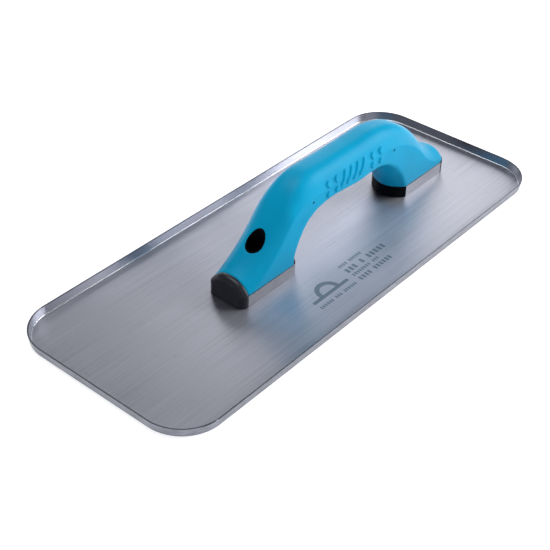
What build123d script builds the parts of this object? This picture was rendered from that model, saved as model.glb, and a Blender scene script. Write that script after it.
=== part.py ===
"""Tray-shaped steel hand float with an overmoulded arch handle, as separate pieces.

Millimetres.  The origin is the middle of the blade's sole: +X runs along the blade
towards the handle's rounded tongue, +Z is up, and the blade's sole lies on Z = 0.
The tool is rigid, so every piece belongs to one body.
"""
import os
from dataclasses import dataclass
from math import cos, radians, sin, sqrt, tan

from build123d import *

# ---------------------------------------------------------------- blade
blade_length = 380.0          # over the rim
blade_width = 150.0           # over the rim
blade_sheet = 1.0             # stainless sheet
rim_height = 7.1              # over all, from the sole
rim_flare = 1.1               # how far the rim leans out over its height
rim_bend = 1.6                # outer radius of the bend from sole to rim
blade_corner = 30.0           # plan radius of the four corners, at the rim
rim_edge_break = 0.3          # deburred edge of the sheet

# ---------------------------------------------------------------- handle, in plan
handle_offset = -1.5          # the handle's centre line beside the blade's
handle_width = 30.5           # over the bracket flanges and the grip
front_foot_x = -70.0          # front end of the front bracket
front_foot_length = 46.0
rear_foot_x = 103.0           # front end of the rear bracket
rear_foot_length = 44.3
nose_crown = 8.5              # how far a foot bulges past its bracket, under the palm
cap_length = 5.0              # front cap, ahead of the front bracket
tongue_reach = 9.1            # rear tongue, past the rear bracket
tongue_rim = 1.0              # rim of the core left bare round the end of the tongue
tongue_shoulder = 0.4         # how far that rim starts in from the sides

# ---------------------------------------------------------------- handle, in height
grip_crest = 68.0             # top of the grip over the sole
cap_crest = 19.0              # top of the handle where the front cap meets it
tongue_crest = 20.2           # top of the rear tongue where the ramp runs into it
tongue_tip_crest = 13.5       # top of the rear tongue at its tip
palm_height = 44.4            # underside of the grip over the sole, at its sides
palm_belly = 1.5              # how far the underside sags at mid grip
palm_crown = 2.8              # how far the underside bulges between its sides
front_ramp_run = 70.0         # from the front cap to where the grip is level
front_hollow = 90.0           # radius of the front ramp's crest where it leaves the cap
front_flank = 53.0            # its steepest slope, in degrees
front_shoulder = 38.0         # radius of its crest up to the grip
front_fullness = 2.5          # how late its rounded top swells on the way up; 1 is evenly
rear_ramp_run = 83.0          # from where the grip ends to the tongue
rear_hollow = 50.0            # the same sizes for the rear ramp
rear_flank = 54.0
rear_shoulder = 72.0
rear_fullness = 0.7
sleeve_wall = 2.6             # soft cover over the core
rim_drop = 0.3                # how far the core's bare edges stand below the soft cover's surface
crest_sag = 0.5               # how far the crest dips at mid grip
low_rise = 8.8                # how far the rounded top stands over its sides where the ramps start
grip_rise = 13.5              # and at the grip
tongue_rise = 10.6            # and at the tongue's tip
low_roundness = 2.5           # power of the section's curve where the handle is low; 2 is a parabola
high_roundness = 3.2          # the same at the grip; more is flatter on top
skin_margin = 4.0             # how far the top surface is drawn past the handle it trims

# The finger gap's outline seen from the side: shares of the gap's length and of its height, front to rear.
GAP_FRONT = [(0.02, 0.42), (0.10, 0.82), (0.23, 1.0)]
GAP_BELLY = 0.55              # where along the gap the underside hangs lowest
GAP_REAR = [(0.86, 0.72), (0.945, 0.36)]
gap_rear_roof = 0.72          # where the underside starts down to the rear foot
gap_rear_sag = 1.2            # how far it has come down there
gap_lean = 1.0                # how far a foot leans into the gap at its waist
gap_waist = 5.0               # height of that waist over the flanges
gap_depth = 6.0               # how far the cutter for the gap runs below what it cuts

# ---------------------------------------------------------------- brackets
bracket_sheet = 1.2
bracket_flange = 8.8          # over the blade's upper face
bracket_bend = 0.8            # inner radius between base and flange
bracket_edge = 0.3            # outer corner, drawn sharp
bracket_gap = 0.1             # free play between a foot and its bracket

# ---------------------------------------------------------------- fasteners (M5)
screw_diameter = 5.0
screw_length = 10.0
screw_hole = 5.5
screw_point = 0.5             # chamfer at the screw's end
head_diameter = 9.5
head_height = 3.7
head_round = 1.6              # rounding of the pan head
drive_width = 1.4             # arms of the cross recess
drive_reach = 5.4             # over the arms of the cross recess
drive_depth = 2.0
washer_outer = 10.0
washer_bore = 5.3
washer_sheet = 1.0
spring_outer = 9.2
spring_bore = 5.1
spring_sheet = 1.2
spring_slit = 1.0
nut_across_flats = 9.0
nut_height = 4.2
nut_chamfer = 1.0             # on the nut's upright edges
nut_gap = 0.4                 # clearance around and above a weld nut
access_bore = 11.6            # shaft down which a screw and its driver reach the foot
collar_wall = 0.7             # collar of the core that lines the shaft through the soft cover
screw_web = 4.4               # core left between the weld nut's pocket and the washer

# ---------------------------------------------------------------- front cap
cap_round = 4.2               # rounding between the cap's face and its sides
cap_drop = 0.2                # gap between the cap or the core and the blade
tenon_length = 9.0
tenon_width = 19.0
tenon_height = 6.0
tenon_gap = 0.1
tenon_rise = 1.0              # tenon's underside over the bracket's base
arch_steps = 12               # points along the cap's arch

# ---------------------------------------------------------------- heights and places worked out
half_width = handle_width / 2
blade_top = blade_sheet
seat_height = blade_top + bracket_sheet          # where a foot stands in its bracket
foot_top = blade_top + bracket_flange            # top of the flanges, bottom of the grip
foot_bottom = blade_top + cap_drop
front_foot_end = front_foot_x + front_foot_length
rear_foot_end = rear_foot_x + rear_foot_length
tongue_tip_x = rear_foot_end + tongue_reach
collar_diameter = access_bore + 2 * collar_wall
front_screw_x = front_foot_x + front_foot_length / 2
rear_screw_x = rear_foot_x + rear_foot_length / 2
nut_pocket_top = seat_height + nut_height + nut_gap
washer_seat = nut_pocket_top + screw_web
above_handle = grip_crest + 20.0             # where upright cutters end
tolerance = 0.01
STANDING = (Align.CENTER, Align.CENTER, Align.MIN)   # a block or cylinder that stands on its place


@dataclass(frozen=True)
class Ramp:
    """Crest from a ramp's low end up to the grip: a hollow arc, a straight flank and a shoulder arc."""

    run: float
    low: float
    hollow: float
    flank: float
    shoulder: float
    fullness: float

    def shoulder_start(self):
        """Where the shoulder leaves the flank: distance along the ramp, and height."""
        lean = radians(self.flank)
        return self.run - self.shoulder * sin(lean), grip_crest - self.shoulder * (1 - cos(lean))

    def hollow_centre(self):
        """Centre of the hollow, which starts at the low end and runs smoothly into the flank."""
        lean = radians(self.flank)
        along, up = self.shoulder_start()
        off_flank = along * sin(lean) + (self.low - up) * cos(lean)
        uphill = sqrt(2 * self.hollow * off_flank - off_flank ** 2)
        away = self.hollow - off_flank
        return uphill * cos(lean) - away * sin(lean), self.low + uphill * sin(lean) + away * cos(lean)

    def low_slope(self):
        """Slope of the crest at the low end."""
        along, up = self.hollow_centre()
        return -along / (up - self.low)

    def height(self, along):
        """Height of the crest at a distance along the ramp."""
        if along >= self.run:
            return grip_crest
        shoulder_along, shoulder_up = self.shoulder_start()
        if along >= shoulder_along:
            return grip_crest - self.shoulder + sqrt(self.shoulder ** 2 - (self.run - along) ** 2)
        centre_along, centre_up = self.hollow_centre()
        if along >= centre_along + self.hollow * sin(radians(self.flank)):
            return shoulder_up - tan(radians(self.flank)) * (shoulder_along - along)
        return centre_up - sqrt(self.hollow ** 2 - (along - centre_along) ** 2)

    def rise(self, along):
        """How far the rounded top stands over its sides at a distance along the ramp."""
        climbed = max(self.height(along) - self.low, 0.0) / (grip_crest - self.low)
        return low_rise + (grip_rise - low_rise) * climbed ** self.fullness


FRONT_RAMP = Ramp(front_ramp_run, cap_crest, front_hollow, front_flank, front_shoulder, front_fullness)
REAR_RAMP = Ramp(rear_ramp_run, tongue_crest, rear_hollow, rear_flank, rear_shoulder, rear_fullness)


def crest_at(x):
    """Height of the crest at x, and how far the rounded top stands over its sides there."""
    from_front = x - front_foot_x
    from_rear = rear_foot_end - x
    if from_rear < 0:
        share = -from_rear / tongue_reach
        straight = REAR_RAMP.low_slope() * tongue_reach
        droop = tongue_crest - straight - tongue_tip_crest
        height = tongue_crest - straight * share - droop * share ** 2
        return height, low_rise + (tongue_rise - low_rise) * share
    if from_front <= front_ramp_run:
        return FRONT_RAMP.height(from_front), FRONT_RAMP.rise(from_front)
    if from_rear <= rear_ramp_run:
        return REAR_RAMP.height(from_rear), REAR_RAMP.rise(from_rear)
    level = rear_foot_end - rear_ramp_run - front_foot_x - front_ramp_run
    share = 2 * (from_front - front_ramp_run) / level - 1
    return grip_crest - crest_sag * (1 - share ** 2) ** 2, grip_rise


def top_height(x, y, inset):
    """Height of the handle's rounded top at a point of its plan."""
    crest, rise = crest_at(x)
    share = (crest - cap_crest) / (grip_crest - cap_crest)
    roundness = low_roundness + (high_roundness - low_roundness) * share
    return crest - inset - rise * abs(y / half_width) ** roundness


def top_skin(inset):
    """Surface of the handle's rounded top, drawn past the handle all round."""
    start = front_foot_x - skin_margin
    length = tongue_tip_x + skin_margin - start
    reach = half_width + skin_margin
    rows = 60
    columns = 16
    xs = [start + length * i / rows for i in range(rows + 1)]
    ys = [reach * (2 * j / columns - 1) for j in range(columns + 1)]
    points = [[Vector(x, y, top_height(x, y, inset)) for y in ys] for x in xs]
    return Face.make_surface_from_array_of_points(points, tol=0.02, min_deg=3, max_deg=5)


def palm_profile(y, crown_share, grow):
    """Outline of the finger gap in the upright plane at y.

    crown_share is 0 at the handle's sides and 1 on its centre line, where the feet and the
    underside of the grip bulge into the gap.  grow widens the gap all round.
    """
    nose = nose_crown * crown_share - grow
    drop = palm_crown * crown_share - grow
    front = front_foot_end + nose
    rear = rear_foot_x - nose
    span = rear - front
    roof = palm_height - drop
    height = roof - foot_top
    floor = foot_top - gap_depth
    curve = Spline(
        (front - gap_lean / 2, floor),
        (front - gap_lean, foot_top + gap_waist),
        *[(front + along * span, foot_top + up * height) for along, up in GAP_FRONT],
        (front + GAP_BELLY * span, roof - palm_belly),
        (front + gap_rear_roof * span, roof - gap_rear_sag),
        *[(front + along * span, foot_top + up * height) for along, up in GAP_REAR],
        (rear + gap_lean, floor),
    )
    base = Polyline(curve @ 1, (rear + gap_lean, -gap_depth), (front - gap_lean / 2, -gap_depth), curve @ 0)
    return Plane.XZ.offset(-y) * make_face(Curve() + [curve, base])


def finger_gap(grow):
    """Cutter for the space under the grip, waisted so that what it leaves is crowned."""
    stations = [(-half_width, 0.0), (0.0, 1.0), (half_width, 0.0)]
    return loft([palm_profile(y, crown_share, grow) for y, crown_share in stations])


def tongue_outline(reach, side):
    """Half of an ellipse past the rear bracket."""
    half = Ellipse(reach, side) & Rectangle(reach, 2 * side, align=(Align.MIN, Align.CENTER))
    return Pos(rear_foot_end, 0) * half


def plan_outline(inset):
    """The soft cover seen from above: straight sides, a square front end and a rounded tongue."""
    side = half_width - inset
    body = Rectangle(rear_foot_end - front_foot_x, 2 * side, align=(Align.MIN, Align.CENTER))
    tongue = tongue_outline(tongue_reach - tongue_rim - inset, side - tongue_shoulder)
    return Pos(front_foot_x, 0) * body + tongue


def under_skin(shape, inset):
    """What of a shape is below the handle's rounded top, lowered by inset."""
    return split(shape, bisect_by=top_skin(inset), keep=Keep.BOTTOM)


def handle_body(inset):
    """The handle above its feet, drawn in by inset from the outside all round."""
    prism = Pos(0, 0, foot_top) * extrude(plan_outline(inset), above_handle)
    return under_skin(prism, inset) - finger_gap(inset)


def nose_outline(edge_x, direction):
    """Plan of the part of a foot that bulges past its bracket towards the fingers."""
    tip = edge_x + direction * nose_crown
    arc = ThreePointArc((edge_x, -half_width), (tip, 0), (edge_x, half_width))
    chord = Line((edge_x, half_width), (edge_x, -half_width))
    return make_face(Curve() + [arc, chord])


def foot_block(start_x, length):
    """The part of a foot that stands between its bracket's flanges."""
    width = handle_width - 2 * (bracket_sheet + bracket_gap)
    block = Box(length, width, foot_top - seat_height, align=(Align.MIN, Align.CENTER, Align.MIN))
    heel = [e for e in block.edges().filter_by(Axis.X) if e.center().Z < seat_height / 2]
    block = chamfer(heel, bracket_bend + bracket_gap)
    return Pos(start_x, 0, seat_height) * block


def bore(x, diameter, low, high):
    """Upright round cutter."""
    return Pos(x, 0, low) * Cylinder(diameter / 2, high - low, align=STANDING)


def screw_bores(x):
    """What one foot gives up to its weld nut, its screw and the driver's shaft."""
    pocket_side = nut_across_flats + 2 * nut_gap
    pocket = Box(pocket_side, pocket_side, nut_pocket_top - foot_bottom, align=STANDING)
    cuts = Pos(x, 0, foot_bottom) * pocket
    cuts += bore(x, screw_hole, foot_bottom, washer_seat)
    cuts += bore(x, access_bore, washer_seat, above_handle)
    return cuts


def place(shape):
    """Move a handle piece from the handle's centre line to its place on the blade."""
    return Pos(0, handle_offset, 0) * shape


# ---------------------------------------------------------------- pieces
def make_blade():
    """Pressed tray: a flat sole with a low rim turned up all round."""
    sole_length = blade_length - 2 * rim_flare
    sole_width = blade_width - 2 * rim_flare
    sole = RectangleRounded(sole_length, sole_width, blade_corner - rim_flare)
    rim = Pos(0, 0, rim_height) * RectangleRounded(blade_length, blade_width, blade_corner)
    tray = loft([sole, rim], ruled=True)
    tray = fillet(tray.faces().sort_by(Axis.Z)[0].edges(), rim_bend)
    tray = offset(tray, amount=-blade_sheet, openings=tray.faces().sort_by(Axis.Z)[-1])
    rim_edges = tray.edges().filter_by(lambda e: abs(e.center().Z - rim_height) < tolerance)
    return fillet(rim_edges, rim_edge_break)


def make_bracket(start_x, length):
    """Drawn channel, spot-welded to the blade by its base; its flanges flank the foot."""
    outside = Rectangle(handle_width, bracket_flange, align=(Align.CENTER, Align.MIN))
    low = outside.vertices().group_by(Axis.Y)[0]
    outside = fillet(low, bracket_edge)
    inside = Rectangle(handle_width - 2 * bracket_sheet, bracket_flange, align=(Align.CENTER, Align.MIN))
    inside = fillet(inside.vertices().group_by(Axis.Y)[0], bracket_bend)
    section = outside - Pos(0, bracket_sheet) * inside
    return extrude(Plane.YZ.offset(start_x) * (Pos(0, blade_top) * section), length)


def make_tongue():
    """End of the core past the rear bracket: a solid foot with a rim round the soft cover's end."""
    whole = tongue_outline(tongue_reach, half_width)
    covered = tongue_outline(tongue_reach - tongue_rim, half_width - tongue_shoulder)
    rim = under_skin(Pos(0, 0, foot_bottom) * extrude(whole - covered, above_handle), rim_drop)
    return rim + Pos(0, 0, foot_bottom) * extrude(covered, foot_top - foot_bottom)


def make_collar(x):
    """Collar of the core that lines a driver's shaft up through the soft cover."""
    return under_skin(bore(x, collar_diameter, foot_top, above_handle), rim_drop)


def make_core():
    """Rigid moulded core: two feet joined by the bar inside the grip."""
    core = handle_body(sleeve_wall)
    core += foot_block(front_foot_x, front_foot_length)
    core += foot_block(rear_foot_x, rear_foot_length)
    core += Pos(0, 0, foot_bottom) * extrude(nose_outline(front_foot_end, 1), foot_top - foot_bottom)
    core += Pos(0, 0, foot_bottom) * extrude(nose_outline(rear_foot_x, -1), foot_top - foot_bottom)
    core += make_tongue()
    core += make_collar(front_screw_x) + make_collar(rear_screw_x)
    mortise = Box(tenon_length + 2 * tenon_gap, tenon_width + 2 * tenon_gap, tenon_height + 2 * tenon_gap,
                  align=(Align.MIN, Align.CENTER, Align.MIN))
    core -= Pos(front_foot_x, 0, seat_height + tenon_rise - tenon_gap) * mortise
    return core - screw_bores(front_screw_x) - screw_bores(rear_screw_x)


def make_sleeve():
    """Soft cover moulded over the core, down to the tops of the flanges."""
    sleeve = handle_body(0.0) - handle_body(sleeve_wall)
    sleeve -= bore(front_screw_x, collar_diameter, foot_top, above_handle)
    return sleeve - bore(rear_screw_x, collar_diameter, foot_top, above_handle)


def cap_outline():
    """Front view of the cap: flat sides under the same rounded top as the handle's."""
    ys = [half_width * (1 - 2 * i / arch_steps) for i in range(arch_steps + 1)]
    arch = Spline(*[(y, top_height(front_foot_x, y, 0.0)) for y in ys])
    walls = Polyline(arch @ 1, (-half_width, foot_bottom), (half_width, foot_bottom), arch @ 0)
    return make_face(Curve() + [arch, walls])


def make_cap():
    """Cap that closes the front end, held by a tenon in the core."""
    cap = extrude(Plane.YZ.offset(front_foot_x - cap_length) * cap_outline(), cap_length)
    front = cap.faces().sort_by(Axis.X)[0]
    rounded = [e for e in front.edges() if e.center().Z > foot_bottom + tolerance]
    cap = fillet(rounded, cap_round)
    tenon = Box(tenon_length, tenon_width, tenon_height, align=(Align.MIN, Align.CENTER, Align.MIN))
    return cap + Pos(front_foot_x, 0, seat_height + tenon_rise) * tenon


def make_nut(x):
    """Square weld nut on the bracket's base."""
    nut = Box(nut_across_flats, nut_across_flats, nut_height, align=STANDING)
    nut = chamfer(nut.edges().filter_by(Axis.Z), nut_chamfer)
    nut -= Cylinder(screw_diameter / 2, nut_height, align=STANDING)
    return Pos(x, 0, seat_height) * nut


def make_washer(x):
    """Flat washer on the floor of the driver's shaft."""
    ring = Circle(washer_outer / 2) - Circle(washer_bore / 2)
    return Pos(x, 0, washer_seat) * extrude(ring, washer_sheet)


def make_spring_washer(x):
    """Split spring washer, closed up flat under the screw's head."""
    ring = Circle(spring_outer / 2) - Circle(spring_bore / 2)
    ring -= Pos(spring_outer / 2, 0) * Rectangle(spring_outer, spring_slit)
    return Pos(x, 0, washer_seat + washer_sheet) * extrude(ring, spring_sheet)


def make_screw(x):
    """Pan-head screw with a cross recess."""
    under_head = washer_seat + washer_sheet + spring_sheet
    head = Cylinder(head_diameter / 2, head_height, align=STANDING)
    head = fillet(head.faces().sort_by(Axis.Z)[-1].edges(), head_round)
    arm = Box(drive_reach, drive_width, drive_depth, align=(Align.CENTER, Align.CENTER, Align.MAX))
    recess = Pos(0, 0, head_height) * (arm + Rot(0, 0, 90) * arm)
    shank = Cylinder(screw_diameter / 2, screw_length, align=(Align.CENTER, Align.CENTER, Align.MAX))
    shank = chamfer(shank.faces().sort_by(Axis.Z)[0].edges(), screw_point)
    return Pos(x, 0, under_head) * (head - recess + shank)


def build_pieces():
    """Every piece by its name, in its place."""
    pieces = {"blade": make_blade()}
    pieces["handle_core"] = place(make_core())
    pieces["grip_sleeve"] = place(make_sleeve())
    pieces["front_end_cap"] = place(make_cap())
    feet = {
        "front": (front_foot_x, front_foot_length, front_screw_x),
        "rear": (rear_foot_x, rear_foot_length, rear_screw_x),
    }
    for end, (start_x, length, screw_x) in feet.items():
        pieces[f"{end}_bracket"] = place(make_bracket(start_x, length))
        pieces[f"{end}_weld_nut"] = place(make_nut(screw_x))
        pieces[f"{end}_flat_washer"] = place(make_washer(screw_x))
        pieces[f"{end}_spring_washer"] = place(make_spring_washer(screw_x))
        pieces[f"{end}_screw"] = place(make_screw(screw_x))
    return pieces


os.makedirs("parts", exist_ok=True)
for name, piece in build_pieces().items():
    export_step(piece, f"parts/{name}.step")
    print(f"{name:22s} {piece.volume:10.1f} mm3")
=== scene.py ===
"""Looks of a tray-shaped steel hand float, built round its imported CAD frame.

The blade, brackets, core, cap and fasteners keep their CAD meshes and get their real finishes. The
soft grip is rebuilt as one fine skin with its moulded details, and the etched marking is added.
The frame is in metres with +X along the blade and +Z up; sizes here are millimetres times MM.
"""

import logging
import math
from dataclasses import dataclass
from enum import Enum

import bmesh
import bpy
from mathutils import Matrix, Vector


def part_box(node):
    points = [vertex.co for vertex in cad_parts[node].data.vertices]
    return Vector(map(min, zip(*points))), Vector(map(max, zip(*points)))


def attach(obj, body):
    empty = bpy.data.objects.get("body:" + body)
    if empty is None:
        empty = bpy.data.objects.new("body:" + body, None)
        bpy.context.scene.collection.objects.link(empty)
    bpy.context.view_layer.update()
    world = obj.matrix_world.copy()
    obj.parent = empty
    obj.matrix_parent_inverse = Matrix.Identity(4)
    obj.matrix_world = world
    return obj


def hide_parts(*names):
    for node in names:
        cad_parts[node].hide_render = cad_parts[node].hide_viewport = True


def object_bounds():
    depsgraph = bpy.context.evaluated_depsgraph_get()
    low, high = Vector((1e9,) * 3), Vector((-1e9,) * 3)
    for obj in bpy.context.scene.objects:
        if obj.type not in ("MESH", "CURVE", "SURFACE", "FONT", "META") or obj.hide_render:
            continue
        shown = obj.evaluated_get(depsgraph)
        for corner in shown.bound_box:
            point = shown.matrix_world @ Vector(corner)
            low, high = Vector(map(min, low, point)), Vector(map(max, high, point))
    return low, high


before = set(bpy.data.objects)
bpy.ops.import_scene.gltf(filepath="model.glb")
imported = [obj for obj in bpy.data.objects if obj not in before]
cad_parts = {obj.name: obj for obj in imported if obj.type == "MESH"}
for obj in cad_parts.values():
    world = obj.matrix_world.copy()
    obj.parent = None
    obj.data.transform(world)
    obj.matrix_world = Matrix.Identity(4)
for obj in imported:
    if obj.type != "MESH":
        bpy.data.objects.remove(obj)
CAD_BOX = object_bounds()

MM = 0.001
BODY = "root"
log = logging.getLogger("float")


# ---------------------------------------------------------------- helpers
def linear(code: str) -> tuple[float, float, float, float]:
    """Turn an sRGB hex colour into a linear colour with full alpha.

    Args:
        code: a colour such as "#1296C8".

    Returns:
        Linear red, green, blue and alpha.
    """
    shares = [int(code[start:start + 2], 16) / 255 for start in (1, 3, 5)]
    return (*(s / 12.92 if s <= 0.04045 else ((s + 0.055) / 1.055) ** 2.4 for s in shares), 1.0)


def add_node(tree: bpy.types.NodeTree, kind: str, values: dict | None = None,
             **settings: object) -> bpy.types.Node:
    """Add a shader node, set it up and link it.

    Args:
        tree: the node tree that gets the node.
        kind: the node's type, without the "ShaderNode" in front.
        values: for each input, by name or number, a socket to link or a value to set.
        settings: the node's own properties.

    Returns:
        The new node.
    """
    node = tree.nodes.new(f"ShaderNode{kind}")
    for name, value in settings.items():
        setattr(node, name, value)
    for key, value in (values or {}).items():
        if isinstance(value, bpy.types.NodeSocket):
            tree.links.new(value, node.inputs[key])
        else:
            node.inputs[key].default_value = value
    return node


def new_piece(name: str, shape: bmesh.types.BMesh, smooth: bool = True) -> bpy.types.Object:
    """Turn a bmesh into an object at the origin and free the bmesh.

    Args:
        name: the piece's name.
        shape: the mesh, in the frame's metres.
        smooth: whether its faces are shaded smooth.

    Returns:
        The new object, linked to the scene.
    """
    mesh = bpy.data.meshes.new(name)
    shape.to_mesh(mesh)
    shape.free()
    mesh.polygons.foreach_set("use_smooth", [smooth] * len(mesh.polygons))
    piece = bpy.data.objects.new(name, mesh)
    bpy.context.scene.collection.objects.link(piece)
    return piece


def applied(piece: bpy.types.Object) -> bpy.types.Mesh:
    """Mesh of a piece with its modifiers applied."""
    view = bpy.context.evaluated_depsgraph_get()
    return bpy.data.meshes.new_from_object(piece.evaluated_get(view))


def dress(piece: bpy.types.Object, material: bpy.types.Material) -> None:
    """Give a whole piece one material."""
    piece.data.materials.clear()
    piece.data.materials.append(material)


def smooth_step(low: float, high: float, value: float) -> float:
    """Rise smoothly from 0 at low to 1 at high; high may be the smaller one."""
    t = min(max((value - low) / (high - low), 0.0), 1.0)
    return t * t * (3 - 2 * t)


class Slot(Enum):
    """Names of material slots, which nothing here uses."""

    BLADE = "blade_steel"
    BRACKET = "bracket_steel"
    CORE = "core_nylon"
    GRIP = "grip_rubber"
    CAP = "cap_nylon"
    PLATED = "plated_steel"


# ---------------------------------------------------------------- finishes
@dataclass(frozen=True)
class Finish:
    """A Principled shader over patterns on Object coordinates, which each kind of finish adds to."""

    name: str
    colour: str
    roughness: float

    def material(self) -> bpy.types.Material:
        """Build the material.

        Returns:
            A new material with its whole node tree.
        """
        material = bpy.data.materials.new(self.name)
        material.use_nodes = True
        tree = material.node_tree
        tree.nodes.clear()
        place = add_node(tree, "TexCoord").outputs["Object"]
        plain = {"Base Color": linear(self.colour), "Roughness": self.roughness}
        shader = add_node(tree, "BsdfPrincipled", plain)
        self.pattern(tree, place, shader)
        add_node(tree, "OutputMaterial", {"Surface": shader.outputs[0]})
        return material

    def pattern(self, tree: bpy.types.NodeTree, place: bpy.types.NodeSocket, shader: bpy.types.Node) -> None:
        """Add what the finish shows; each kind of finish has its own."""
        raise NotImplementedError

    @staticmethod
    def noise(tree: bpy.types.NodeTree, place: bpy.types.NodeSocket, size: tuple[float, float, float],
              detail: float = 2.0,
              offset: tuple[float, float, float] = (0.0, 0.0, 0.0)) -> bpy.types.NodeSocket:
        """Noise whose blobs have a real size.

        Args:
            tree: the material's node tree.
            place: the coordinates it lies on, in metres.
            size: a blob's size along each axis, in millimetres.
            detail: octaves of finer noise.
            offset: where the pattern is cut from the noise, in its own units.

        Returns:
            The noise's factor socket, from 0 to 1.
        """
        scale = tuple(1 / (s * MM) for s in size)
        moved = add_node(tree, "Mapping", {"Vector": place, "Scale": scale, "Location": offset})
        values = {"Vector": moved.outputs[0], "Scale": 1.0, "Detail": detail}
        return add_node(tree, "TexNoise", values).outputs["Fac"]

    @staticmethod
    def ranged(tree: bpy.types.NodeTree, value: bpy.types.NodeSocket, source: tuple[float, float],
               target: tuple[float, float]) -> bpy.types.NodeSocket:
        """Map a value from one range to another, held at both ends.

        Args:
            tree: the material's node tree.
            value: the socket to map.
            source: the range it comes from.
            target: the range it goes to.

        Returns:
            The mapped value's socket.
        """
        return add_node(tree, "MapRange", {"Value": value, "From Min": source[0], "From Max": source[1],
                                           "To Min": target[0], "To Max": target[1]}).outputs[0]

    @staticmethod
    def mixed(tree: bpy.types.NodeTree, share: bpy.types.NodeSocket, first: object,
              second: object) -> bpy.types.NodeSocket:
        """Mix two colours, each a socket or a linear colour, by a socket from 0 to 1."""
        return add_node(tree, "MixRGB", {"Fac": share, "Color1": first, "Color2": second}).outputs[0]


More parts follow.
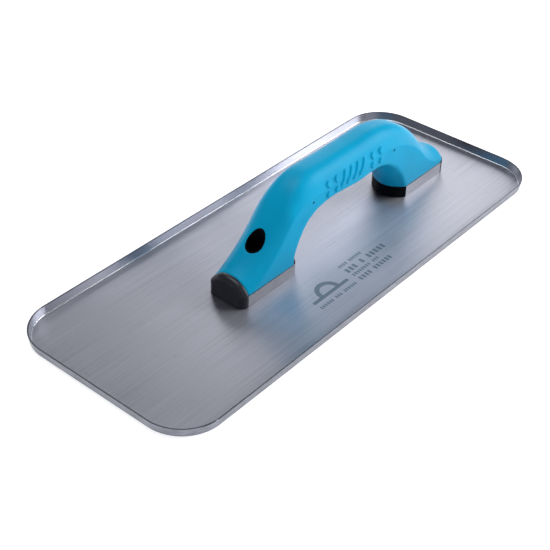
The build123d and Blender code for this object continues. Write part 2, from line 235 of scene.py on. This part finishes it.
@dataclass(frozen=True)
class BrushedStainless(Finish):
    """Stainless sheet brushed with an abrasive belt along X: a metal whose gloss spreads across the lines."""

    shade: str = "#B2B4BF"          # colour in the deeper lines
    anisotropy: float = 0.8
    line_width: float = 0.25        # real lines are under 0.1 mm; drawn this coarse so that they show
    line_length: float = 70.0       # a belt stroke
    line_depth: float = 0.004
    line_strength: float = 0.12     # how much the lines tilt the surface
    line_gloss: float = 0.015       # how much they change the roughness
    cloud: float = 45.0             # slow changes in gloss from rolling and handling
    scratch_length: float = 9.0     # handling scratches across the sheet
    scratch_width: float = 0.5
    scratch_patch: float = 28.0     # size of the patches that have scratches
    scratch_colour: str = "#5C626C"
    scratches: float = 0.25         # 0 is none
    inner_shade_colour: str = "#C8C9D0"   # turned-up walls inside: painted shade, darker than the flat sheet; burnished glossier by the forming punch
    inner_roughness: float = 0.22
    bend_highlight_colour: str = "#F4F4F8"    # painted highlight along the inner bend, lighter than the sheet
    shaded_outer_colour: str = "#90929C"   # painted shade on the walls' outside, which looks down
    # the darker tone of that painted shade, mottled in at random
    shaded_outer_mottle: str = "#74767F"
    outer_roughness: float = 0.34
    die_mottle: float = 2.0
    cut_edge_and_shade: str = "#6C6E77"        # rim top above sheared_from: partly the sheet's dull deburred cut edge, partly painted shade for the dark line along the rim
    sheared_from: float = 1000.0    # height from which the walls are cut edge

    # Upward parts of a face's normal between which each mask rises from 0 to 1; the masks place the walls'
    # painted shade and the bend's painted highlight.
    WALL = (0.97, 0.80)
    OUTSIDE = (0.0, -0.1)
    BEND = (0.25, 0.45)

    def wall_masks(self, tree: bpy.types.NodeTree) -> tuple[bpy.types.NodeSocket, ...]:
        """Tell the turned-up walls from the flat sheet by how steep a face is.

        Args:
            tree: the material's node tree.

        Returns:
            Three sockets: 1 on the walls, 1 on what looks outwards and down, and 1 on the inner bend.
        """
        normal = add_node(tree, "NewGeometry").outputs["Normal"]
        facing = add_node(tree, "SeparateXYZ", {0: normal}).outputs["Z"]
        level = add_node(tree, "Math", {0: facing}, operation="ABSOLUTE").outputs[0]
        return (self.ranged(tree, level, self.WALL, (0.0, 1.0)),
                self.ranged(tree, facing, self.OUTSIDE, (0.0, 1.0)),
                self.ranged(tree, facing, self.BEND, (0.0, 1.0)))

    def pattern(self, tree: bpy.types.NodeTree, place: bpy.types.NodeSocket, shader: bpy.types.Node) -> None:
        """Brush lines, slow clouds of gloss and cross scratches on the flat; on the walls, painted shade, a
        painted highlight on the bend, and their own gloss.
        """
        across = (self.line_length, self.line_width, self.line_width)
        coarse = (self.line_length * 2, self.line_width * 4, self.line_width * 4)
        lines = self.noise(tree, place, across, detail=3.0)
        strong = self.noise(tree, place, coarse, offset=(3.0, 7.0, 1.0))
        streaks = self.ranged(tree, strong, (0.0, 1.0), (0.2, 0.8))
        clouds = self.noise(tree, place, (self.cloud, self.cloud, self.cloud), offset=(5.0, 2.0, 0.0))
        both = add_node(tree, "Math", {0: lines, 1: streaks}, operation="ADD").outputs[0]
        share = self.ranged(tree, both, (0.65, 1.35), (0.0, 1.0))
        brushed = self.mixed(tree, share, linear(self.shade), linear(self.colour))
        strokes = (self.scratch_width, self.scratch_length, self.scratch_length)
        marks = self.noise(tree, place, strokes, detail=0.0, offset=(9.0, 4.0, 2.0))
        patch = (self.scratch_patch, self.scratch_patch, self.scratch_patch)
        rare = self.noise(tree, place, patch, detail=0.0, offset=(1.0, 6.0, 3.0))
        scratched = self.ranged(tree, marks, (0.74, 0.80), (0.0, self.scratches))
        allowed = self.ranged(tree, rare, (0.5, 0.6), (0.0, 1.0))
        scratch = add_node(tree, "Math", {0: scratched, 1: allowed}, operation="MULTIPLY").outputs[0]
        flat = self.mixed(tree, scratch, brushed, linear(self.scratch_colour))
        spread = self.ranged(tree, clouds, (0.3, 0.7), (self.roughness - 0.03, self.roughness + 0.04))
        furrows = self.ranged(tree, both, (0.7, 1.3), (-self.line_gloss, self.line_gloss))
        gloss = add_node(tree, "Math", {0: spread, 1: furrows}, operation="ADD").outputs[0]
        relief = {"Height": both, "Strength": self.line_strength, "Distance": self.line_depth * MM}
        bump = add_node(tree, "Bump", relief)
        # The walls' colours are painted light: shade inside and on the downward outside, a highlight on the
        # inner bend.
        upright, outer, bend = self.wall_masks(tree)
        rubs = (self.die_mottle * 4, self.die_mottle * 4, self.die_mottle)
        mottle = self.noise(tree, place, rubs, detail=4.0)
        # Painted shade on the outside of the walls, mottled between two darker tones.
        shaded_outer = self.mixed(tree, self.ranged(tree, mottle, (0.3, 0.7), (0.0, 1.0)), linear(self.shaded_outer_mottle),
                            linear(self.shaded_outer_colour))
        inner = self.mixed(tree, bend, linear(self.inner_shade_colour), linear(self.bend_highlight_colour))
        wall = self.mixed(tree, outer, inner, shaded_outer)
        wall_rough = self.ranged(tree, outer, (0.0, 1.0), (self.inner_roughness, self.outer_roughness))
        height = add_node(tree, "SeparateXYZ", {0: place}).outputs["Z"]
        # The rim top is darker: partly its cut edge, partly painted shade.
        cut = self.ranged(tree, height, (self.sheared_from * MM, (self.sheared_from + 0.1) * MM), (0.0, 1.0))
        colour = self.mixed(tree, cut, self.mixed(tree, upright, flat, wall), linear(self.cut_edge_and_shade))
        rough = add_node(tree, "Mix", {"Factor": upright, 2: gloss, 3: wall_rough}).outputs[0]
        grain = add_node(tree, "CombineXYZ", {"X": 0.0, "Y": 1.0, "Z": 0.0})
        shader.inputs["Metallic"].default_value = 1.0
        shader.inputs["Anisotropic"].default_value = self.anisotropy
        tree.links.new(colour, shader.inputs["Base Color"])
        tree.links.new(rough, shader.inputs["Roughness"])
        tree.links.new(bump.outputs[0], shader.inputs["Normal"])
        tree.links.new(grain.outputs[0], shader.inputs["Tangent"])


@dataclass(frozen=True)
class Elastomer(Finish):
    """Thermoplastic elastomer moulded over nylon: soft satin gloss on a fine spark-eroded skin."""

    shade: str = "#0093C4"          # where the skin is thin and rubbed
    hole_shade: str = "#101820"            # painted shade in the moulding's pin holes
    grain: float = 0.6              # skin texture
    grain_depth: float = 0.05
    cloud: float = 22.0
    gloss: float = 0.14             # a chalky skin reflects less than its index says; 0.5 is a clean one

    def pattern(self, tree: bpy.types.NodeTree, place: bpy.types.NodeSocket, shader: bpy.types.Node) -> None:
        """A faint cloud of colour, a fine grain in height and gloss, and painted shade in the pin holes."""
        clouds = self.noise(tree, place, (self.cloud, self.cloud, self.cloud))
        grain = self.noise(tree, place, (self.grain, self.grain, self.grain), detail=3.0,
                           offset=(2.0, 2.0, 2.0))
        tint = self.mixed(tree, self.ranged(tree, clouds, (0.35, 0.65), (0.0, 1.0)), linear(self.colour),
                          linear(self.shade))
        hole_shading = add_node(tree, "Attribute", attribute_name=Grip.HOLE_SHADE).outputs["Fac"]
        # Painted shade in the pin holes, mixed over the tint.
        colour = self.mixed(tree, hole_shading, tint, linear(self.hole_shade))
        rough = self.ranged(tree, grain, (0.3, 0.7), (self.roughness - 0.05, self.roughness + 0.05))
        bump = add_node(tree, "Bump", {"Height": grain, "Strength": 0.4, "Distance": self.grain_depth * MM})
        shader.inputs["IOR"].default_value = 1.5
        shader.inputs["Specular IOR Level"].default_value = self.gloss
        tree.links.new(colour, shader.inputs["Base Color"])
        tree.links.new(rough, shader.inputs["Roughness"])
        tree.links.new(bump.outputs[0], shader.inputs["Normal"])


@dataclass(frozen=True)
class MouldedNylon(Finish):
    """Glass-filled nylon, moulded: near black, satin, with a faint fibre mottle."""

    shade: str = "#05060A"
    grain: float = 0.4
    grain_depth: float = 0.012
    mottle: float = 6.0
    gloss: float = 0.35             # 0.5 is a polished moulding

    def pattern(self, tree: bpy.types.NodeTree, place: bpy.types.NodeSocket, shader: bpy.types.Node) -> None:
        """A mottle of two near blacks, and a fine grain in height and gloss."""
        mottle = self.noise(tree, place, (self.mottle, self.mottle, self.mottle), detail=4.0)
        grain = self.noise(tree, place, (self.grain, self.grain, self.grain), detail=2.0,
                           offset=(4.0, 1.0, 6.0))
        colour = self.mixed(tree, self.ranged(tree, mottle, (0.35, 0.65), (0.0, 1.0)), linear(self.colour),
                            linear(self.shade))
        rough = self.ranged(tree, grain, (0.3, 0.7), (self.roughness - 0.05, self.roughness + 0.05))
        bump = add_node(tree, "Bump", {"Height": grain, "Strength": 0.5, "Distance": self.grain_depth * MM})
        shader.inputs["IOR"].default_value = 1.53
        shader.inputs["Specular IOR Level"].default_value = self.gloss
        tree.links.new(colour, shader.inputs["Base Color"])
        tree.links.new(rough, shader.inputs["Roughness"])
        tree.links.new(bump.outputs[0], shader.inputs["Normal"])


@dataclass(frozen=True)
class ZincPlate(Finish):
    """Bright zinc plate on steel: a metal with a cloudy, faintly blue passivated skin."""

    shade: str = "#B9B7AE"
    cloud: float = 2.5

    def pattern(self, tree: bpy.types.NodeTree, place: bpy.types.NodeSocket, shader: bpy.types.Node) -> None:
        """Clouds of two zinc tints that also change the gloss."""
        clouds = self.noise(tree, place, (self.cloud, self.cloud, self.cloud), detail=4.0)
        share = self.ranged(tree, clouds, (0.35, 0.65), (0.0, 1.0))
        shader.inputs["Metallic"].default_value = 1.0
        tint = self.mixed(tree, share, linear(self.colour), linear(self.shade))
        tree.links.new(tint, shader.inputs["Base Color"])
        tree.links.new(self.ranged(tree, share, (0.0, 1.0), (self.roughness, self.roughness + 0.15)),
                       shader.inputs["Roughness"])


# Brushed 304 sheet: pale, slightly blue, and the gloss streaks across the brush lines.
BLADE_FINISH = BrushedStainless("brushed_stainless_sheet", "#D6D7E2", 0.40, sheared_from=6.7)
# Drawn steel channel: darker and duller than the sheet, with die lines along it.
# Its walls get painted tones close to its own colour, and its inner bend gets the painted highlight.
BRACKET_FINISH = BrushedStainless("drawn_steel_channel", "#A0A0A6", 0.42, shade="#94949A", scratches=0.0,
                                  inner_shade_colour="#9C9CA0", inner_roughness=0.42, shaded_outer_colour="#A4A4A8",
                                  shaded_outer_mottle="#8E8E93", outer_roughness=0.42)
# Electrochemical etch on the sheet: oxide grey-blue, duller than the steel round it.
MARK_FINISH = BrushedStainless("etched_oxide_on_stainless", "#8996A1", 0.42, shade="#7D8A96", scratches=0.0)
# Blue elastomer: saturated, with a soft wide gloss.
GRIP_FINISH = Elastomer("overmoulded_elastomer", "#00B4E4", 0.38, shade="#00ACDC")
# Black nylon of the core, seen at the noses, the tongue and the driver's shafts; its near black also holds
# painted shade, for the noses that sit in shadow.
CORE_FINISH = MouldedNylon("glass_filled_nylon", "#06070A", 0.42, gloss=0.1)
# Black nylon of the cap: greyer than the core.
CAP_FINISH = MouldedNylon("satin_moulded_nylon", "#292A33", 0.32, shade="#23242C", gloss=0.4)
# Zinc on the screws, washers and nuts.
PLATED_FINISH = ZincPlate("bright_zinc_plate", "#CFD3D8", 0.22)


# ---------------------------------------------------------------- blade
@dataclass
class Blade:
    """Pressed stainless tray with its etched marking."""

    mark_thickness: float = 0.03
    bar: tuple[float, float] = (36.0, 2.6)          # the pictogram's blade
    bar_centre: tuple[float, float] = (-21.5, -45.4)
    arch_radius: float = 8.2                        # the pictogram's handle, to the middle of its band
    arch_band: float = 3.4
    arch_steps: int = 24
    tick_share: float = 0.62                        # a tick's width over its pitch
    tick_pitch: float = 0.85                        # a tick's pitch over its height

    # Rows of plain ticks: left end, middle height, tick height, ticks in each group.
    ROWS = (
        (2.0, -33.4, 2.6, (4, 6)),
        (1.6, -39.8, 4.6, (3, 1, 5)),
        (1.8, -45.5, 2.8, (8, 3)),
        (1.6, -51.1, 3.8, (4, 6)),
        (-40.0, -51.6, 2.6, (6, 3, 6)),
    )

    def block(self, shape: bmesh.types.BMesh, centre: tuple[float, float], size: tuple[float, float],
              floor: float) -> None:
        """Add a thin block with rounded corners, flat on the blade.

        Args:
            shape: the bmesh that gets it.
            centre: its middle in plan, in millimetres.
            size: its length along X and width along Y, in millimetres.
            floor: height of the blade's upper face, in metres.
        """
        made = bmesh.ops.create_cube(shape, size=1.0)["verts"]
        thickness = self.mark_thickness * MM
        bmesh.ops.scale(shape, vec=(size[0] * MM, size[1] * MM, thickness), verts=made)
        bmesh.ops.translate(shape, vec=(centre[0] * MM, centre[1] * MM, floor + thickness / 2), verts=made)
        around = dict.fromkeys(e for v in made for e in v.link_edges)
        upright = [e for e in around if abs(e.verts[0].co.z - e.verts[1].co.z) > thickness / 2]
        bmesh.ops.bevel(shape, geom=upright, offset=min(size) * 0.25 * MM, segments=3, affect="EDGES",
                        profile=0.5, material=-1)

    def arch(self, shape: bmesh.types.BMesh, floor: float) -> None:
        """Add the pictogram's handle: a half ring that stands on its bar.

        Args:
            shape: the bmesh that gets it.
            floor: height of the blade's upper face, in metres.
        """
        x, y = self.bar_centre
        thickness = self.mark_thickness * MM
        foot = bmesh.ops.create_grid(shape, x_segments=1, y_segments=1, size=0.5)["verts"]
        bmesh.ops.scale(shape, vec=(self.arch_band * MM, thickness, 1.0), verts=foot)
        bmesh.ops.rotate(shape, cent=(0, 0, 0), matrix=Matrix.Rotation(math.pi / 2, 3, "X"), verts=foot)
        corner = Vector(((x + self.arch_radius) * MM, (y + self.bar[1] / 2) * MM, floor + thickness / 2))
        bmesh.ops.translate(shape, vec=corner, verts=foot)
        face = foot[0].link_faces[0]
        geom = [face, *face.edges, *face.verts]
        bmesh.ops.spin(shape, geom=geom, cent=(x * MM, corner.y, corner.z), axis=(0, 0, 1), dvec=(0, 0, 0),
                       angle=math.pi, steps=self.arch_steps, use_duplicate=False, use_merge=False)

    def build_marking(self) -> bpy.types.Object:
        """Build the etched marking: a plain pictogram of a float and rows of ticks.

        Returns:
            The marking as one thin piece on the blade's upper face.
        """
        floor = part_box("front_bracket")[0].z
        shape = bmesh.new()
        self.block(shape, self.bar_centre, self.bar, floor)
        self.arch(shape, floor)
        for left, middle, height, groups in self.ROWS:
            pitch = height * self.tick_pitch
            start = left
            for count in groups:
                for index in range(count):
                    centre = (start + (index + 0.5) * pitch, middle)
                    self.block(shape, centre, (pitch * self.tick_share, height), floor)
                start += (count + 1) * pitch
        bmesh.ops.recalc_face_normals(shape, faces=shape.faces)
        return new_piece("etched_marking", shape, smooth=False)

    def build(self) -> list[bpy.types.Object]:
        """Dress the CAD blade and add its marking; return both."""
        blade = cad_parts["blade"]
        dress(blade, BLADE_FINISH.material())
        marking = self.build_marking()
        dress(marking, MARK_FINISH.material())
        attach(marking, BODY)
        return [blade, marking]


# ---------------------------------------------------------------- grip
@dataclass
class Grip:
    """Soft cover over the core, as one closed skin with buttons, bars and pin holes moulded in."""

    voxel: float = 0.68
    smoothing: int = 3
    bore_radius: float = 6.52           # just clear of the core's collars
    bore_reach: float = 0.4             # how far out a vertex still belongs to the hole's wall
    bore_fine: float = 8.0              # how far out the skin is made finer
    softening: int = 10                 # rounds that soften the edges round the finger gap
    soft_angle: float = 14.0            # what counts as an edge there, in degrees
    soft_rings: int = 3                 # how many rings of vertices round an edge are softened
    soft_foot: float = 1.5              # how far over the brackets the softening starts
    soft_reach: float = 4.0             # how far it goes past the finger gap, over the feet
    button_radius: float = 2.3
    button_height: float = 1.25
    button_edge: float = 0.8            # how wide a button's rounded edge is
    bar_half_width: float = 1.5
    bar_height: float = 1.1
    bar_edge: float = 0.8
    bar_lean: float = 5.0               # how far a bar's top is ahead of its foot
    pin_radius: float = 0.95
    pin_depth: float = 1.6
    detail_reach: float = 2.0           # how far round a detail the skin is made finer
    panel_turn: float = 0.35            # how squarely a face looks sideways to be made finer; 1 is fully
    panel_share: float = 0.75           # how far out it lies, as a share of the half width
    moulded_turn: float = 0.25          # the same two limits for a vertex that a detail moves
    moulded_share: float = 0.7

    # Attribute that carries the painted shade in the pin holes.
    HOLE_SHADE = "hole_shade"
    # Places on the side panels: along the handle and above the sole.
    BUTTON_XS = (8.5, 17.5, 57.0, 66.0)
    BUTTON_ZS = (49.5, 56.5)
    BAR_XS = (24.5, 31.5, 38.5, 45.5)
    BAR_ZS = (49.5, 57.5)
    PINS = ((-7.5, 50.4), (81.9, 49.8))

    def button_lift(self, x: float, z: float) -> float:
        """How far the buttons raise the skin at a place on a side panel, from 0 to 1."""
        outside = self.button_radius + self.button_edge / 2
        inside = self.button_radius - self.button_edge / 2
        lifts = (smooth_step(outside, inside, math.hypot(x - bx, z - bz))
                 for bx in self.BUTTON_XS for bz in self.BUTTON_ZS)
        return max(lifts)

    def bar_lift(self, x: float, z: float) -> float:
        """How far the slanted bars raise the skin at a place on a side panel, from 0 to 1."""
        low, high = self.BAR_ZS
        share = min(max((z - low) / (high - low), 0.0), 1.0)
        lean = self.bar_lean * (share - 0.5)
        off = z - (low + share * (high - low))
        outside = self.bar_half_width + self.bar_edge / 2
        inside = self.bar_half_width - self.bar_edge / 2
        lifts = (smooth_step(outside, inside, math.hypot(x - bx - lean, off)) for bx in self.BAR_XS)
        return max(lifts)

    def pin_sink(self, x: float, z: float) -> float:
        """How far the pin holes sink the skin at a place on a side panel, from 0 to 1."""
        return max(smooth_step(self.pin_radius * 1.25, self.pin_radius * 0.6, math.hypot(x - px, z - pz))
                   for px, pz in self.PINS)

    def in_detail(self, x: float, z: float) -> bool:
        """Tell whether a place on a side panel is near a detail."""
        reach = self.detail_reach
        buttons = any(math.hypot(x - bx, z - bz) < self.button_radius + reach
                      for bx in self.BUTTON_XS for bz in self.BUTTON_ZS)
        bars = (self.BAR_XS[0] - self.bar_lean - reach < x < self.BAR_XS[-1] + self.bar_lean + reach
                and self.BAR_ZS[0] - 2 * reach < z < self.BAR_ZS[1] + 2 * reach)
        return buttons or bars or any(math.hypot(x - px, z - pz) < reach for px, pz in self.PINS)

    @staticmethod
    def relax(skin: bmesh.types.BMesh, verts: object) -> None:
        """Move each vertex half way to the middle of its neighbours."""
        bmesh.ops.smooth_vert(skin, verts=verts, factor=0.5, use_axis_x=True, use_axis_y=True, use_axis_z=True)

    @staticmethod
    def refine(skin: bmesh.types.BMesh, faces: list[bmesh.types.BMFace]) -> None:
        """Split each edge of some faces in two, in the order of the faces."""
        edges = list(dict.fromkeys(e for f in faces for e in f.edges))
        bmesh.ops.subdivide_edges(skin, edges=edges, cuts=1, use_grid_fill=True)

    def skin(self) -> bmesh.types.BMesh:
        """Remesh the CAD sleeve into an even, slightly rounded skin.

        Returns:
            The skin as a bmesh.
        """
        shape = bmesh.new()
        shape.from_mesh(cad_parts["grip_sleeve"].data)
        bmesh.ops.remove_doubles(shape, verts=shape.verts, dist=0.001 * MM)
        rough = new_piece("rough_skin", shape)
        remesh = rough.modifiers.new("voxels", "REMESH")
        remesh.mode = "VOXEL"
        remesh.voxel_size = self.voxel * MM
        mesh = applied(rough)
        bpy.data.objects.remove(rough)
        skin = bmesh.new()
        skin.from_mesh(mesh)
        bpy.data.meshes.remove(mesh)
        for _ in range(self.smoothing):
            self.relax(skin, skin.verts)
        self.soften(skin)
        self.true_bores(skin)
        return skin

    def soften(self, skin: bmesh.types.BMesh) -> None:
        """Round the edges where the side panels turn into the finger gap.

        Args:
            skin: the grip's skin, which is changed.
        """
        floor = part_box("front_bracket")[1].z + self.soft_foot * MM
        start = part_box("front_bracket")[1].x - self.soft_reach * MM
        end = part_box("rear_bracket")[0].x + self.soft_reach * MM
        skin.normal_update()
        sharp = {v for e in skin.edges if len(e.link_faces) == 2
                 and math.degrees(e.calc_face_angle(0.0)) > self.soft_angle for v in e.verts}
        for _ in range(self.soft_rings):
            sharp |= {n for v in sharp for e in v.link_edges for n in e.verts}
        near = [v for v in skin.verts if v in sharp and v.co.z > floor and start < v.co.x < end]
        for _ in range(self.softening):
            self.relax(skin, near)

    def true_bores(self, skin: bmesh.types.BMesh) -> None:
        """Make the holes round the two driver's shafts truly round again.

        Args:
            skin: the grip's skin, which is changed.
        """
        for end in ("front", "rear"):
            low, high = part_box(f"{end}_screw")
            x, y = (low.x + high.x) / 2, (low.y + high.y) / 2
            axis = Vector((x, y))
            self.refine(skin, [f for f in skin.faces
                               if (f.calc_center_median().xy - axis).length < self.bore_fine * MM])
            for v in skin.verts:
                away = v.co.xy - axis
                if away.length < (self.bore_radius + self.bore_reach) * MM:
                    v.co.xy = axis + away.normalized() * self.bore_radius * MM

    def emboss(self, skin: bmesh.types.BMesh) -> None:
        """Refine the side panels round their details and mould the details in.

        Args:
            skin: the grip's skin, which is changed.
        """
        low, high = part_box("grip_sleeve")
        middle = (low.y + high.y) / 2
        side = (high.y - low.y) / 2
        panels = []
        for face in skin.faces:
            centre = face.calc_center_median()
            off = centre.y - middle
            sideways = abs(face.normal.y) > self.panel_turn and off * face.normal.y > 0
            if sideways and abs(off) > side * self.panel_share and self.in_detail(centre.x / MM, centre.z / MM):
                panels.append(face)
        self.refine(skin, panels)
        skin.normal_update()
        hole_shade = skin.verts.layers.float.new(self.HOLE_SHADE)
        moves = []
        for v in skin.verts:
            outward = (v.co.y - middle) * v.normal.y > 0 and abs(v.normal.y) > self.moulded_turn
            if not outward or abs(v.co.y - middle) < side * self.moulded_share:
                continue
            x, z = v.co.x / MM, v.co.z / MM
            sink = self.pin_sink(x, z)
            lift = self.button_lift(x, z) * self.button_height + self.bar_lift(x, z) * self.bar_height
            # The pin holes' sink also paints shade into them.
            v[hole_shade] = sink
            if lift or sink:
                moves.append((v, v.normal * (lift - sink * self.pin_depth) * MM))
        for v, move in moves:
            v.co += move

    def build(self) -> list[bpy.types.Object]:
        """Build, dress and place the cover; return it as the one piece."""
        skin = self.skin()
        self.emboss(skin)
        cover = new_piece("grip_cover", skin)
        dress(cover, GRIP_FINISH.material())
        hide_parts("grip_sleeve")
        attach(cover, BODY)
        return [cover]


# ---------------------------------------------------------------- hard parts of the handle
@dataclass
class HardParts:
    """Core, cap and brackets of the handle, which keep their CAD meshes."""

    NODES = {
        "handle_core": CORE_FINISH,
        "front_end_cap": CAP_FINISH,
        "front_bracket": BRACKET_FINISH,
        "rear_bracket": BRACKET_FINISH,
    }

    def build(self) -> list[bpy.types.Object]:
        """Dress each part in its finish, one material for each finish; return the parts."""
        materials = {finish: finish.material() for finish in dict.fromkeys(self.NODES.values())}
        parts = []
        for name, finish in self.NODES.items():
            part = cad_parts[name]
            dress(part, materials[finish])
            parts.append(part)
        return parts


@dataclass
class Fasteners:
    """Screws, washers and weld nuts of both feet."""

    KINDS = ("weld_nut", "flat_washer", "spring_washer", "screw")

    def build(self) -> list[bpy.types.Object]:
        """Dress every fastener in zinc plate; return them."""
        zinc = PLATED_FINISH.material()
        parts = [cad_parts[f"{end}_{kind}"] for end in ("front", "rear") for kind in self.KINDS]
        for part in parts:
            dress(part, zinc)
        return parts


# ---------------------------------------------------------------- studio
@dataclass(frozen=True)
class Softbox:
    """A soft rectangular light that faces the object."""

    name: str
    direction: tuple[float, float, float]
    distance: float
    size: tuple[float, float]
    radiance: float                 # brightness of its front, where 1 shows as white
    tint: str = "#FFFFFF"

    def build(self, aim: Vector) -> None:
        """Add the light.

        Args:
            aim: the point it faces, in metres.
        """
        data = bpy.data.lights.new(self.name, "AREA")
        data.shape = "RECTANGLE"
        data.size, data.size_y = self.size
        data.energy = self.radiance * math.pi * self.size[0] * self.size[1]
        data.color = linear(self.tint)[:3]
        light = bpy.data.objects.new(self.name, data)
        away = Vector(self.direction).normalized()
        light.location = aim + away * self.distance
        light.rotation_euler = away.to_track_quat("Z", "Y").to_euler()
        bpy.context.scene.collection.objects.link(light)


@dataclass
class Studio:
    """Pale floor, soft lights and the camera."""

    floor_size: float = 12.0
    azimuth: float = -51.218            # from -Y towards +X, of where the camera stands
    elevation: float = 37.228
    roll: float = 2.134
    distance: float = 793.5
    aim: tuple[float, float, float] = (-31.4, -6.2, 0.0)
    lens: float = 78.54
    sensor: float = 36.0

    SOFTBOXES = (
        Softbox("key_right", (0.78, -0.56, 0.42), 1.4, (0.9, 0.7), 5.0),
        Softbox("back_right", (0.72, 0.60, 0.36), 1.6, (1.0, 0.9), 1.55),
        Softbox("overhead", (0.0, 0.12, 1.0), 1.5, (0.5, 1.4), 3.6),
        Softbox("front_left", (-0.55, -0.95, 0.7), 1.6, (1.0, 1.0), 0.4),
    )

    def build_floor(self) -> bpy.types.Object:
        """Lay the floor under the object: matt white paper that glows a little, so that it stays pale."""
        shape = bmesh.new()
        bmesh.ops.create_grid(shape, x_segments=1, y_segments=1, size=self.floor_size / 2)
        bmesh.ops.translate(shape, vec=(0, 0, CAD_BOX[0][2]), verts=shape.verts)
        floor = new_piece("studio_floor", shape, smooth=False)
        paper = bpy.data.materials.new("white_paper")
        paper.use_nodes = True
        shader = paper.node_tree.nodes["Principled BSDF"]
        shader.inputs["Base Color"].default_value = linear("#F2F2F4")
        shader.inputs["Roughness"].default_value = 0.9
        shader.inputs["Emission Color"].default_value = linear("#FFFFFF")
        shader.inputs["Emission Strength"].default_value = 0.75
        dress(floor, paper)
        return floor

    def build_world(self) -> None:
        """Set the even, dim light of the room."""
        world = bpy.data.worlds.new("room")
        world.use_nodes = True
        back = world.node_tree.nodes["Background"]
        back.inputs["Color"].default_value = linear("#E6EAF2")
        back.inputs["Strength"].default_value = 0.22
        bpy.context.scene.world = world

    def build_camera(self) -> None:
        """Place the camera at its viewing angle."""
        turn, rise, tilt = (math.radians(a) for a in (self.azimuth, self.elevation, self.roll))
        back = Vector((math.sin(turn) * math.cos(rise), -math.cos(turn) * math.cos(rise), math.sin(rise)))
        right = (-back).cross(Vector((0, 0, 1))).normalized()
        up = right.cross(-back)
        across = right * math.cos(tilt) + up * math.sin(tilt)
        upward = up * math.cos(tilt) - right * math.sin(tilt)
        data = bpy.data.cameras.new("camera")
        data.lens = self.lens
        data.sensor_width = self.sensor
        camera = bpy.data.objects.new("camera", data)
        turned = Matrix((across, upward, back)).transposed().to_4x4()
        camera.matrix_world = Matrix.Translation(Vector(self.aim) * MM + back * self.distance * MM) @ turned
        bpy.context.scene.collection.objects.link(camera)
        bpy.context.scene.camera = camera

    def build(self) -> None:
        """Build the whole studio."""
        self.build_floor()
        self.build_world()
        aim = Vector(self.aim) * MM
        for box in self.SOFTBOXES:
            box.build(aim)
        self.build_camera()
        bpy.context.scene.view_settings.view_transform = "Standard"


def main() -> None:
    """Build the object and its studio, and report each piece."""
    logging.basicConfig(level=logging.INFO, format="%(name)s: %(message)s")
    for assembly in (Blade(), Grip(), HardParts(), Fasteners()):
        for piece in assembly.build():
            faces = len(piece.data.polygons)
            log.info("%s: %s, %d faces", type(assembly).__name__, piece.name, faces)
    Studio().build()


if __name__ == "__main__":
    main()
